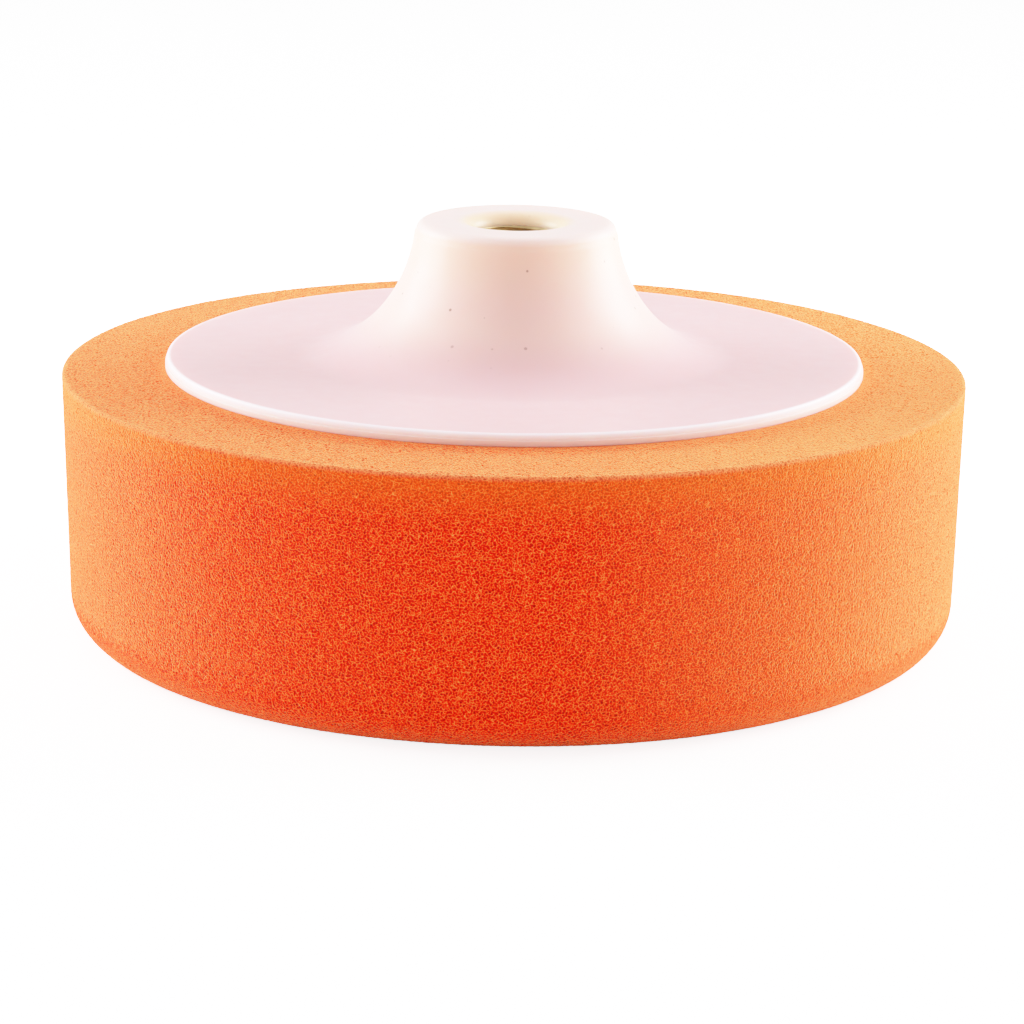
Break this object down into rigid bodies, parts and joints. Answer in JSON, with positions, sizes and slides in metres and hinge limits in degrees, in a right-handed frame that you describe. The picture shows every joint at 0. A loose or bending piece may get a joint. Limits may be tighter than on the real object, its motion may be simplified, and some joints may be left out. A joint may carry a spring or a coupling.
{
  "type": "polishing pad",
  "caption": "Thick foam polishing pad glued to a round moulded backing plate, whose flared hub holds a threaded metal insert for a polisher's spindle.",
  "frame": {"origin": "centre of the foam's working face, which lies on the surface the pad stands on", "axes": "+Z along the spindle axis, from the working face towards the hub's mouth; X and Y are any two directions across the pad"},
  "size_m": [0.15, 0.15, 0.0686],
  "materials": {
    "orange_foam": "matte",
    "cured_glue": "satin",
    "milky_plastic": "satin",
    "brass": "satin"
  },
  "bodies": {
    "root": {"foam_pad": "orange_foam", "glue_film": "cured_glue", "backing_plate": "milky_plastic", "threaded_insert": "brass"}
  },
  "joints": []
}
